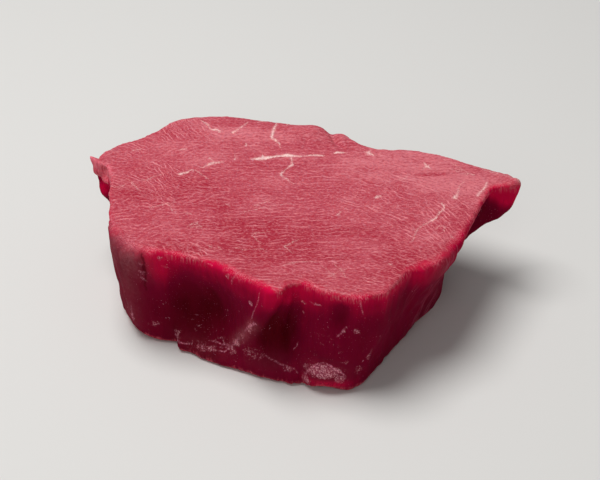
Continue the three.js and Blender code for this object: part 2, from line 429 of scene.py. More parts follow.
# fat seams of the upper cut: pixels of the photograph, with the seam's width there in mm
seams = {
    "main": [(250, 158.8, 0.15), (257, 158.6, 0.7), (263.5, 158, 1.9), (270, 157.3, 0.75),
             (276, 156.4, 0.55), (282, 155.8, 0.65), (287.5, 155.4, 1.3), (293, 156.1, 0.7),
             (301, 156.3, 0.35), (308, 155.6, 0.25), (312, 155.2, 0.45), (321, 155.2, 0.45),
             (326, 155, 0.15)],
    "mainEnd": [(333, 153.8, 0.15), (336.5, 152.2, 0.7), (341, 152.4, 0.5), (348, 152.5, 0.2)],
    "backKnot": [(363, 151.3, 0.1), (367, 152.3, 0.6), (370, 153.8, 0.7), (375, 156.2, 0.1)],
    "backLeft": [(200, 120.2, 0.2), (207, 123.3, 0.4), (209.5, 127.3, 0.2), (212.5, 129.9, 0.5),
                 (217.6, 129.9, 0.6), (220.7, 133.5, 0.2)],
    "backSlant": [(248, 122.1, 0.2), (243.3, 127.2, 0.35), (238.2, 129.7, 0.3), (232.6, 133.3, 0.6)],
    "backHook": [(277.4, 125.7, 0.3), (274, 131.3, 0.5), (271.8, 138.9, 0.6), (278.5, 143.5, 0.4),
                 (280.5, 148, 0.2)],
    "backBit": [(257, 124.5, 0.15), (261.6, 122.1, 0.35), (264, 121.2, 0.2)],
    "backStub": [(288.3, 125.5, 0.3), (287.7, 128.9, 0.4)],
    "left": [(224, 161.5, 0.12), (217, 162.6, 0.4), (210.4, 163.6, 0.7), (204.3, 166.6, 0.3),
             (199, 168, 0.12)],
    "leftEnd": [(194, 169.2, 0.2), (186, 172.8, 0.5), (178.8, 174.8, 0.7)],
    "leftBit": [(178, 150, 0.15), (184, 149.3, 0.35), (188, 149, 0.15)],
    "flapBit": [(127, 151.5, 0.1), (134, 150, 0.2), (141, 149.2, 0.25)],
    "midBit": [(235, 154.5, 0.15), (235.4, 158.5, 0.4), (235.8, 160, 0.2)],
    "backDot": [(246, 142.8, 0.15), (246.2, 144.7, 0.35), (246, 147, 0.15)],
    "noseSeam": [(487.8, 181.6, 0.2), (485.7, 185.2, 0.45), (481.6, 190.8, 0.3), (477.6, 195.9, 0.6)],
    "noseBit": [(465, 172, 0.1), (470, 173.5, 0.2), (474, 174.6, 0.35)],
    "rightSeam": [(464.8, 181.6, 0.25), (460.2, 184.7, 0.15), (458.2, 189.8, 0.25),
                  (457.7, 193.9, 0.35), (454.1, 198.5, 1.0)],
    "rightLong": [(439.8, 203.1, 0.1), (443.4, 204.1, 0.30), (443.9, 208.7, 0.35), (437.8, 214.8, 0.30),
                  (435.7, 217.9, 0.5), (427.6, 222.4, 0.25), (417.3, 228.6, 0.2), (415.3, 232.7, 0.1)],
    "rightKnot": [(423.5, 162, 0.15), (426.8, 166.2, 0.55), (431.5, 169, 0.2)],
    "midRight": [(373.5, 198, 0.15), (377.5, 196.7, 0.55), (381.5, 195.4, 0.3)],
    "midKnot": [(341.5, 211, 0.12), (338.5, 214, 0.45), (336.5, 215.5, 0.3)],
    "front": [(299.5, 239, 0.15), (291, 243.5, 0.3), (284, 246.5, 0.3)],
    "leftWeb": [(125, 179, 0.1), (131, 181, 0.16), (137, 188, 0.18), (140, 191.5, 0.1)],
    "leftVeil": [(140, 178.5, 0.1), (147, 180.5, 0.18), (153, 177, 0.14), (163, 174, 0.1)],
}

# seams that run into those, in the same way
branches = {
    "mainFork": [(291.5, 156.5, 0.5), (292, 162, 0.3), (291.7, 166, 0.6), (287, 168.5, 0.25),
                 (282, 172.5, 0.35), (281.3, 175, 0.5), (284, 177.5, 0.3), (289, 180.5, 0.25),
                 (293, 184, 0.12)],
    "mainSpur": [(262, 153.5, 0.15), (263, 155.5, 0.35), (264, 157.5, 0.5)],
    "leftSpur": [(208.9, 157.4, 0.2), (212, 160.5, 0.3), (214.5, 162.3, 0.4)],
    "rightArm": [(422, 169.5, 0.1), (426.8, 166.5, 0.45), (431, 163.8, 0.12)],
    "knotArm": [(366.5, 156, 0.1), (368.5, 153, 0.5), (370.5, 149.8, 0.1)],
    "frontFork": [(284, 246.5, 0.2), (289, 250, 0.18), (294, 254, 0.1)],
}

# thin pale strands of the upper cut, in the same way
strands = {
    "leftArc": [(111, 186, 0.1), (116, 187.5, 0.16), (122, 186.5, 0.16), (127, 183.5, 0.1)],
    "leftCross": [(148, 208, 0.1), (158, 205.5, 0.16), (167, 203.5, 0.14), (176, 202, 0.1)],
    "leftSlant": [(167, 202, 0.1), (171, 208.5, 0.14), (178, 215, 0.1)],
    "tangleLeft": [(186.5, 228, 0.1), (191, 224.5, 0.2), (195, 222.3, 0.25), (200, 224.5, 0.2),
                   (203, 227, 0.1)],
    "tangleRight": [(190, 227.5, 0.1), (195, 226.2, 0.22), (202, 228.6, 0.1)],
    "tangleTop": [(183, 212, 0.1), (188, 213.6, 0.2), (192.5, 214.2, 0.1)],
    "frontDash": [(208, 245, 0.12), (210.5, 246.6, 0.25), (213, 248, 0.12)],
    "frontTick": [(217.5, 246.5, 0.1), (220, 248.5, 0.22), (222.5, 250, 0.1)],
    "frontLine": [(233, 246.8, 0.1), (243, 249.8, 0.16), (252, 249, 0.12), (260, 248, 0.16),
                  (267, 252, 0.1)],
    "frontSlant": [(252, 235, 0.1), (257, 239.5, 0.14), (263, 245, 0.1)],
    "frontTop": [(253, 233.5, 0.1), (262, 232.5, 0.14), (271, 231.5, 0.1)],
    "frontArc": [(283, 265.5, 0.1), (295, 262.3, 0.16), (308, 261, 0.14), (320, 262, 0.1)],
    "middleLong": [(240, 213.2, 0.1), (258, 209, 0.14), (277, 205, 0.14), (293, 203, 0.1)],
    "middleShort": [(252, 207, 0.1), (261, 203.5, 0.14), (270, 200.5, 0.1)],
    "middleHook": [(223, 202, 0.1), (227, 204.5, 0.16), (230.5, 206.2, 0.1)],
    "leftFork": [(193, 169, 0.1), (198, 172, 0.16), (203, 175, 0.14), (208.5, 179.5, 0.1)],
    "cornerLeft": [(322, 266, 0.1), (330, 271.5, 0.16), (336, 278, 0.1)],
    "cornerMid": [(334, 264, 0.1), (341, 269.5, 0.16), (346, 277.5, 0.1)],
    "cornerCross": [(325, 279, 0.1), (333, 274, 0.14), (347, 268, 0.1)],
    "rightTail": [(415, 233, 0.12), (414, 238, 0.18), (410, 243, 0.1)],
    "rightDash": [(388, 262.5, 0.12), (391.5, 264.8, 0.28), (395, 266.5, 0.12)],
    "rightBit": [(450, 235, 0.12), (453, 236.8, 0.3), (455.5, 238.2, 0.1)],
    "rightTangle": [(436, 229, 0.1), (440, 225.5, 0.16), (445, 226.5, 0.16), (444, 231.5, 0.14),
                    (438, 233, 0.1)],
    "backPale": [(397, 180.5, 0.1), (402, 179, 0.2), (408, 176.5, 0.1)],
    "edgeLine": [(443, 159.5, 0.1), (452, 163.5, 0.18), (461, 168.5, 0.18), (471, 173.8, 0.1)],
    "edgeRim": [(472, 166, 0.1), (485, 169.8, 0.18), (500, 174.2, 0.2), (510, 177, 0.12)],
    "noseCurl": [(512, 178.5, 0.15), (516, 179.2, 0.35), (518.5, 182, 0.25), (517, 185, 0.1)],
    "edgeInner": [(449, 168, 0.1), (458, 171.5, 0.14), (467, 176, 0.1)],
}
seamLook = {
    "reach": 0.8,  # mm past which a seam no longer counts
    "far": 3.0,  # mm, offset that is kept where there is no seam
}


# for each stretch of a line: offset across it, distance to it, run past it, share along it
def stretches(line, onRim=False):
    found = [touch(stop[:2]) for stop in line]
    for (start, normal), (end, _) in zip(found, found[1:]):
        length = np.linalg.norm(end - start)
        along = (end - start) / length
        if onRim:  # halfway between the upper cut's normal and the wall's
            normal = np.array((along[1], -along[0], 1)) / math.sqrt(2)
        away = spots - start
        run = away @ along
        inside = np.clip(run, 0, length)
        gap = np.linalg.norm(away - inside[:, None] * along, axis=1)
        yield away @ np.cross(normal, along), gap, np.abs(run - inside), inside / length


def seamField(lines):  # for each vertex its offset across the nearest seam, and that seam's half width
    offset = np.full(count, seamLook["far"])
    half = np.full(count, -1.0)
    nearest = np.full(count, seamLook["far"])
    for line in lines.values():
        for i, (aside, gap, past, share) in enumerate(stretches(line)):
            width = line[i][2] + (line[i + 1][2] - line[i][2]) * share
            spare = np.maximum(np.abs(aside) - seamLook["reach"], 0)
            taken = gap < nearest
            nearest[taken] = gap[taken]
            offset[taken] = aside[taken]
            half[taken] = (width / 2 - past - 2 * spare)[taken]
    return np.stack([offset, half, np.zeros(count)], axis=1)


# the rim as the photograph shows it, in pixels, from the flap along the front to the tip of the nose
rimPath = [(110, 200), (109.5, 212), (112, 220), (118, 228), (126, 236), (133, 242), (139, 246.6),
           (150.5, 247.7), (173, 250.8), (200, 257.8), (218.6, 261.5), (232, 267), (241, 273),
           (259.5, 280.7), (273, 286), (279, 290), (286.8, 283), (305, 279.5), (323, 289.8),
           (340, 295), (361, 295), (384, 291), (393, 284.5), (401, 278), (406, 269), (416, 264),
           (428, 260), (435, 261), (452.5, 237.5), (472.5, 216), (483.5, 196), (490.5, 185),
           (500, 184.5), (510, 184.5), (519, 182)]

# mm over which the photographed rim gives way to the solid's: from none of it to all of it
rimTrust = {
    "aside": (6, 3.5),
    "fromEnds": (0.5, 3),
    "beyond": (0.8, 0),
}


# mm from the photographed rim, above 0 on the upper cut, and from the solid's rim elsewhere
def rimField():
    nearest = np.full(count, 1e9)
    across = np.zeros(count)
    beyond = np.zeros(count)  # mm past either end of the path
    last = len(rimPath) - 2
    for i, (aside, gap, past, share) in enumerate(stretches(rimPath, onRim=True)):
        level = np.abs(gap - nearest) < 1e-6  # at a corner the clearer of the two sides counts
        taken = (gap < nearest - 1e-6) | (level & (np.abs(aside) > np.abs(across)))
        nearest[taken] = gap[taken]
        across[taken] = aside[taken]
        off = (share == 0) * (i == 0) + (share == 1) * (i == last)
        beyond[taken] = (past * off)[taken]
    ends = [touch(rimPath[i])[0] for i in (0, -1)]
    fromEnds = np.min([np.linalg.norm(spots - end, axis=1) for end in ends], axis=0)
    trust = ramp(nearest, *rimTrust["aside"]) * ramp(fromEnds, *rimTrust["fromEnds"])
    trust = trust * ramp(beyond, *rimTrust["beyond"])
    return trust * np.sign(across) * nearest + (1 - trust) * fromRim


def keep(name, values):  # stores a vector for each vertex, which the material reads
    attribute = piece.data.attributes.new(name, "FLOAT_VECTOR", "POINT")
    attribute.data.foreach_set("vector", values.astype(np.float32).ravel())


keep("seam", seamField({**seams, **strands}))
keep("branch", seamField(branches))
rimOf = rimField()
print("rim and fat seams laid")


# soft grey film on the wall: partly a thin skin, partly painted sheen where the wall faces the light
filmAndSheenPatches = {
    "corner": ((127, 255), 4.5, 7.0, 0, 1.0),
    "cornerSide": ((114, 240), 3.0, 10.0, 0, 0.9),
    "cornerLow": ((127, 284), 3.5, 8.0, 0, 0.5),
    "cornerFoot": ((131, 308), 3.0, 5.0, 0, 0.45),
    "ridge": ((242.5, 335), 1.5, 6.0, 40, 1.0),
    "ridgeHead": ((252, 326), 1.5, 2.4, 38, 1.0),
    "skirt": ((205, 347), 9.0, 2.5, 0, 0.15),
    "foot": ((268, 362), 6.0, 3.0, 0, 0.15),
    "lip": ((326, 371), 6.0, 3.0, 0, 0.25),
    "rightFacet": ((447, 266), 4.0, 4.5, 20, 0.55),
}

# frost in grains: partly the grains of the thin skin, partly painted reflection of the wet film
frostAndSheenPatches = {
    "ridge": ((252, 327), 1.6, 2.8, 38, 0.58),
    "ridgeMid": ((243, 336), 1.3, 3.0, 42, 0.5),
    "ridgeLow": ((236, 343), 1.5, 2.4, 50, 0.8),
    "ridgeTop": ((251.5, 303), 0.9, 0.9, 0, 1.0),
    "lip": ((323, 370.5), 4.8, 1.7, 0, 1.2),
    "lipLeft": ((306, 379), 1.8, 1.8, 0, 0.85),
    "lipHighLeft": ((311, 369), 1.8, 1.3, 0, 0.75),
    "lipHighRight": ((336, 370), 2.0, 1.3, 0, 0.8),
    "lipRight": ((340, 378), 1.7, 1.6, 0, 0.9),
    "skirt": ((207, 347.5), 7.0, 1.4, -8, 0.58),
    "skirtEnd": ((230, 349.5), 2.6, 1.8, 0, 0.64),
    "skirtScatter": ((222, 341), 5.0, 2.0, 0, 0.42),
    "footScatter": ((252, 352), 3.5, 3.5, 0, 0.52),
    "hollowScatter": ((200, 326), 9.0, 4.0, 0, 0.3),
    "cornerScatter": ((325, 340), 7.0, 5.0, 0, 0.26),
    "skirtLeft": ((178, 336), 1.4, 2.8, -20, 0.66),
    "feather": ((356.5, 331), 1.0, 1.8, -20, 0.62),
    "dashes": ((343, 331), 0.9, 1.8, 45, 0.58),
    "ringHigh": ((340, 351.5), 1.1, 0.8, 0, 0.6),
    "ringRight": ((370, 355), 1.3, 2.4, 0, 0.6),
    "ringLow": ((359, 370), 1.6, 1.6, 0, 0.58),
    "ringSmall": ((346, 363), 1.0, 1.2, 30, 0.58),
    "tickLeft": ((304, 302), 0.8, 0.6, 0, 0.85),
    "tickRight": ((317, 304.5), 1.5, 0.6, 0, 0.75),
    "tickLow": ((304, 312), 0.7, 0.7, 0, 0.7),
    "bulge": ((160, 257), 1.1, 0.7, 0, 0.8),
    "cornerLow": ((134, 315), 1.0, 2.0, 0, 0.62),
    "cornerFoot": ((155, 324), 1.8, 1.6, 0, 0.56),
    "rimLeft": ((228, 276), 0.8, 1.2, 0, 0.75),
    "footRight": ((289, 368), 1.6, 1.0, 0, 0.65),
}

# thin pale lines on the wall: pixels of the photograph, with the line's width there in mm
marks = {
    "skirtStart": [(174.5, 330, 0.15), (176.5, 337, 0.3), (181, 342, 0.3), (190, 344, 0.1)],
    "skirtEnd": [(218, 351, 0.1), (223, 351.5, 0.25), (228, 348.5, 0.3), (234, 343.5, 0.3),
                 (239, 337.5, 0.15)],
    "skirtInner": [(208, 340.5, 0.15), (215, 341.8, 0.3), (221, 345, 0.25), (227, 345.2, 0.25)],
    "ridgeLine": [(260.8, 291.5, 0.05), (259.2, 301.5, 0.15), (255.8, 310, 0.10), (252.5, 318.5, 0.2)],
    "ridgeEdge": [(246, 331, 0.3), (250.5, 325.5, 0.4), (256.5, 322.3, 0.4), (258, 324, 0.2)],
    "strandTop": [(258.5, 360, 0.1), (261.5, 356, 0.25), (263.7, 353.8, 0.35)],
    "strand": [(264.5, 355.5, 0.15), (272, 359.5, 0.3), (280, 363.5, 0.3), (289, 366.5, 0.15),
               (295, 368.5, 0.1)],
    "lipTop": [(304, 375, 0.3), (308, 371.5, 0.35), (314, 365.5, 0.4), (320, 363.5, 0.45),
               (327, 363.9, 0.35), (335, 367.8, 0.35), (343, 373, 0.3), (345, 378, 0.3)],
    "cornerLine": [(358, 294, 0.15), (359.5, 300, 0.1), (362, 309, 0.15), (363.5, 315, 0.05)],
    "tickLong": [(309.5, 301.5, 0.12), (314, 304, 0.2), (321, 305.5, 0.3)],
    "tickSlant": [(337, 336, 0.12), (341, 333, 0.3), (347, 326.5, 0.2)],
    "hollowFoot": [(293, 350, 0.12), (297, 345.5, 0.2), (298, 342, 0.12)],
    "footCurve": [(284, 371, 0.1), (291, 367.5, 0.2), (296, 370.5, 0.2), (297, 374, 0.1)],
    "creaseHigh": [(139.5, 260.5, 0.1), (142, 263.5, 0.3), (141.5, 266.5, 0.12)],
    "creaseMid": [(139.5, 269, 0.12), (142, 271.5, 0.35), (146, 272, 0.15)],
    "creaseLow": [(140.5, 276, 0.1), (143.5, 278.5, 0.4), (147, 281, 0.15)],
    "cornerEdge": [(131, 306, 0.15), (133.5, 313, 0.35), (135.5, 320, 0.15)],
    "rimTear": [(232, 284, 0.12), (234.5, 276, 0.25), (238, 272, 0.2), (240, 267, 0.12)],
    "rimTick": [(162, 264, 0.15), (168, 265.5, 0.25)],
    "rimDash": [(207, 263, 0.12), (212, 265.5, 0.2)],
}

# thin lines of painted shade down the crease, in the same way
creaseShadeLines = {
    "leftCrease": [(141.5, 253, 0.1), (144.2, 262, 0.25), (143, 266, 0.35), (146, 273.3, 0.35),
                   (145, 283.3, 0.2), (146.5, 290, 0.1)],
}

# how bright the wall is, as painted light and shade: from -1 for painted shade in the hollows to 1 for
# painted light under the rim
wallLightAndShade = {
    "leftBulge": ((160, 268), 5.0, 8.0, 0, 0.5),
    "leftCorner": ((122, 252), 5.0, 9.0, 0, -0.8),
    "leftSide": ((110, 222), 3.0, 6.0, 0, -0.4),
    "leftTrench": ((182, 292), 3.0, 9.0, 0, -0.2),
    "leftHollow": ((198, 316), 12.0, 9.0, 0, -0.5),
    "ridge": ((258, 300), 3.5, 7.0, 25, -0.05),
    "ridgeSide": ((266, 308), 2.0, 9.0, 25, 0.15),
    "hollowLeft": ((277, 318), 3.2, 8.0, 20, -0.45),
    "rightHollow": ((275, 334), 4.5, 7.0, 10, -0.7),
    "hollowSide": ((298, 310), 4.0, 6.0, 0, 0.35),
    "hollowTop": ((292, 297), 5.0, 3.0, 0, 0.45),
    "cornerDimple": ((343, 312), 2.0, 4.0, 0, -0.35),
    "cornerLobe": ((420, 277), 3.5, 5.0, 0, 0.2),
    "lip": ((327, 383), 6.0, 1.7, 0, 0.8),
    "skirt": ((207, 350), 8.0, 3.0, 0, -0.3),
    "rightBand": ((448, 254), 6.0, 3.0, 0, 0.1),
    "rightRim": ((463, 236), 7.0, 3.0, 0, 0.05),
    "noseRim": ((476, 217), 5.0, 2.0, 0, 0.2),
    "noseScoop": ((484, 214), 4.5, 4.0, 0, -0.4),
    "noseFringe": ((508, 192), 5.0, 3.0, 0, 0.8),
    "noseFace": ((510, 198), 3.5, 3.0, 0, 0.5),
    "flapPocket": ((106, 188), 2.4, 2.5, 0, 0.9),
}

# how pale the upper cut is, from -1 for deep red to 1 for pink: partly its own tone and red streaks,
# partly painted sheen that makes the back paler and the front darker, and painted light on the flap
# face
cutTonesAndSheen = {
    "backLeft": ((225, 140), 14.0, 9.0, 0, 0.25),
    "back": ((300, 140), 20.0, 8.0, 0, 0.3),
    "backRight": ((410, 168), 16.0, 9.0, 0, 1.15),
    "nose": ((472, 190), 8.0, 7.0, 0, 0.8),
    "frontMiddle": ((268, 238), 13.0, 8.0, 0, -1.6),
    "flapFace": ((102, 168), 4.5, 4.0, 0, 1.0),
    "left": ((150, 196), 9.0, 9.0, 0, -0.5),
    "frontRimLeft": ((192, 250), 10.0, 3.0, 0, -0.9),
    "frontRimMid": ((300, 277), 8.0, 3.0, 0, -0.6),
    "frontArc": ((334, 257.5), 4.5, 0.7, 0, -1.6),
    "frontBand": ((302, 251.5), 6.0, 0.8, 0, -0.8),
    "rightBand": ((433, 174), 3.5, 0.7, 0, -1.6),
    "noseStroke": ((461, 204), 0.8, 2.4, -23, -1.8),
    "rightSpot": ((398.5, 269.5), 1.0, 0.8, 0, -1.6),
    "leftBand": ((240, 222), 9.0, 1.5, 0, -0.6),
    "middleBand": ((360, 228), 12.0, 2.0, 0, -0.6),
    "paleBand": ((330, 240), 12.0, 1.5, 0, 0.4),
    "leftMiddle": ((215, 200), 12.0, 8.0, 0, -0.35),
    "frontRight": ((400, 252), 10.0, 7.0, 0, -0.8),
}

# frost of the far side, partly painted reflection, from none of it to all of it
farSide = {
    "strength": 0.5,
    "away": (0.05, 0.4),  # how far the wall faces away from the camera, 1 for straight away
    "height": (24, 5),  # mm
    "scatter": (0.2, 1.0),  # level of the noise
}

rightSide = {
    "facing": np.array((0.92, -0.39, 0)),  # the way that the right wall faces
    "near": (0.55, 0.9),  # how far a surface faces that way, 1 for just that way
    "x": (23, 30),  # mm, from where it isn't the right wall to where it is
    "y": (22, 10),  # mm, in the same way
    "fibre": ((441, 255), (408, 320)),  # two pixels on one of its fibres
}

# courses that the material draws the fibres in: degrees from +X, how tight the fibres lie
lays = {
    "steep": (-60, 0.75),
    "slant": (-32, 0.85),
    "level": (0, 1.0),
    "rising": (35, 0.9),
}


def sunken():  # mm that the wall lies behind its own smoothed shape
    return np.einsum("ij,ij->i", softened(beef["hollow"]) - spots, facing)


# the scattered frost is partly painted reflection of the wet film
def farFrostAndSheen():  # scattered frost where the photograph doesn't show the wall
    sight = spots - np.array(eye)
    away = np.einsum("ij,ij->i", facing, sight) / np.linalg.norm(sight, axis=1)
    hidden = ramp(away, *farSide["away"]) * (1 - onCut)
    scatter = waves(0.17, 41) + 0.6 * waves(0.41, 42)
    low = ramp(height, *farSide["height"])
    return farSide["strength"] * hidden * low * ramp(scatter, *farSide["scatter"])


def rightShare():  # 1 on the right wall
    share = ramp(facing @ rightSide["facing"], *rightSide["near"])
    return share * ramp(spots[:, 1], *rightSide["y"]) * ramp(spots[:, 0], *rightSide["x"])


def rightGrain():  # mm along the right wall's fibres, across them and out of the wall
    out = rightSide["facing"]
    start, end = [touch(pixel)[0] for pixel in rightSide["fibre"]]
    along = end - start
    along = along - out * (along @ out)
    along = along / np.linalg.norm(along)
    return spots @ np.stack([along, np.cross(out, along), out], axis=1)


def layShares():  # how much of each course but the last lies at a vertex
    degrees = [degree for degree, _ in lays.values()]
    single = np.eye(len(degrees))
    return np.stack([np.interp(course, degrees, row) for row in single[:-1]], axis=1)


frostAndSheen = np.maximum(painted(frostAndSheenPatches, np.maximum), farFrostAndSheen())
# painted shade where the wall is sunken, added to the painted light and shade of the patches
paintedWallShading = painted(wallLightAndShade, np.add) - 0.4 * ramp(sunken(), 0.1, 0.9)
keep("paint", np.stack([frostAndSheen, paintedWallShading, painted(cutTonesAndSheen, np.add)], axis=1))
keep("grain", rightGrain())
wornOff = painted(worn, np.maximum)
keep("side", np.stack([wornOff, rightShare(), painted(filmAndSheenPatches, np.maximum)], axis=1))
tornOff = painted(torn, np.maximum)
edgeOf = np.maximum(rimOf, fromFoot) + 9 * tornOff  # a torn face counts as well inside the cut
keep("rim", np.stack([edgeOf, rimOf, tornOff], axis=1))
keep("mark", seamField(marks))
keep("crease", seamField(creaseShadeLines))
keep("lay", layShares())
print("film and tones laid")


def allAxes(size):  # one number stands for all three axes
    return size if isinstance(size, (tuple, Wire)) else (size, size, size)


# one shader socket, with the sums that are used here
class Wire:
    def __init__(self, tree, socket):
        self.tree = tree
        self.socket = socket

    def node(self, kind, settings=None, **inputs):  # an input is named, or i and its number
        made = self.tree.nodes.new("ShaderNode" + kind)
        for name, value in (settings or {}).items():
            setattr(made, name, value)
        for name, value in inputs.items():
            key = int(name[1:]) if name[1:].isdigit() else name.replace("_", " ")
            if isinstance(value, Wire):
                self.tree.links.new(value.socket, made.inputs[key])
            else:
                made.inputs[key].default_value = value
        return made

    def out(self, kind, settings=None, pick=0, **inputs):
        return Wire(self.tree, self.node(kind, settings, **inputs).outputs[pick])

    def sum(self, operation, one, two=0.0):
        return self.out("Math", {"operation": operation}, i0=one, i1=two)

    def __add__(self, other):
        return self.sum("ADD", self, other)

    def __radd__(self, other):
        return self.sum("ADD", other, self)

    def __sub__(self, other):
        return self.sum("SUBTRACT", self, other)

    def __rsub__(self, other):
        return self.sum("SUBTRACT", other, self)

    def __mul__(self, other):
        return self.sum("MULTIPLY", self, other)

    def __rmul__(self, other):
        return self.sum("MULTIPLY", other, self)

    def __truediv__(self, other):
        return self.sum("DIVIDE", self, other)

    def __abs__(self):
        return self.sum("ABSOLUTE", self)

    def between(self, start, end):  # 0 at start, 1 at end, smooth between them
        smooth = {"interpolation_type": "SMOOTHSTEP"}
        return self.out("MapRange", smooth, Value=self, From_Min=start, From_Max=end)

    def paint(self, under, over):  # this wire is how much of the colour over covers the colour under
        return self.out("Mix", {"data_type": "RGBA"}, pick=2, i0=self, i6=under, i7=over)

    def scaled(self, size):  # a vector times a vector
        return self.out("VectorMath", {"operation": "MULTIPLY"}, i0=self, i1=allAxes(size))

    def moved(self, shift):  # a vector plus a vector
        return self.out("VectorMath", {"operation": "ADD"}, i0=self, i1=allAxes(shift))

    def turned(self, degrees):  # a vector turned about Z
        about = {"rotation_type": "Z_AXIS"}
        return self.out("VectorRotate", about, Vector=self, Angle=math.radians(degrees))

    def noise(self, detail, roughness):  # from 0 to 1
        return self.out("TexNoise", Vector=self, Scale=1.0, Detail=detail, Roughness=roughness)

    def cloud(self):  # noise as a vector, each part from -0.5 to 0.5
        return self.out("TexNoise", pick="Color", Vector=self, Scale=1.0, Detail=2.0).moved(-0.5)

    def attribute(self, name):  # a vector that is kept for each vertex, as its three parts
        return self.stored(name).parts()

    def stored(self, name):  # a vector that is kept for each vertex
        return self.out("Attribute", {"attribute_name": name}, pick="Vector")

    def parts(self):  # a vector's three numbers
        made = self.node("SeparateXYZ", i0=self)
        return [Wire(self.tree, socket) for socket in made.outputs]


# colours of the cut faces and of the wall
rawBeef = {
    "cutDeep": (0.35, 0.020, 0.042, 1),
    "cutMid": (0.44, 0.058, 0.086, 1),
    # pale pink of the cut, partly its own tone and partly painted sheen
    "cutPinkAndSheen": (0.59, 0.145, 0.175, 1),
    "fibreLight": (0.74, 0.25, 0.28, 1),
    "fibreDark": (0.33, 0.016, 0.034, 1),
    # red of the lit rim edge, as painted light
    "rimPaintedLight": (0.60, 0.02, 0.06, 1),
    "fringe": (0.85, 0.23, 0.29, 1),
    # the next three: the wall's red as painted shade, painted half light and painted light
    "wallPaintedShade": (0.085, 0.0004, 0.005, 1),
    "wallPaintedHalfLight": (0.18, 0.0006, 0.020, 1),
    "wallPaintedLight": (0.57, 0.002, 0.045, 1),
    "fat": (0.88, 0.62, 0.58, 1),
    # film: partly a thin skin, partly painted sheen
    "film": (0.25, 0.054, 0.070, 1),
    # the next two: partly the grains of the thin skin, partly painted reflection and glints
    "paintedSilverSheen": (0.48, 0.10, 0.16, 1),
    "speckAndGlint": (0.88, 0.42, 0.48, 1),
    "shred": (0.86, 0.28, 0.40, 1),
}

# moist surface over flesh that lets a little light in
moist = {
    "IOR": 1.40,
    "Specular IOR Level": 0.03,
    "Coat IOR": 1.38,
    "Coat Roughness": 0.22,
    "Subsurface Weight": 0.22,
    "Subsurface Radius": (1.0, 0.18, 0.12),
    "Subsurface Scale": 0.7 * mm,
}


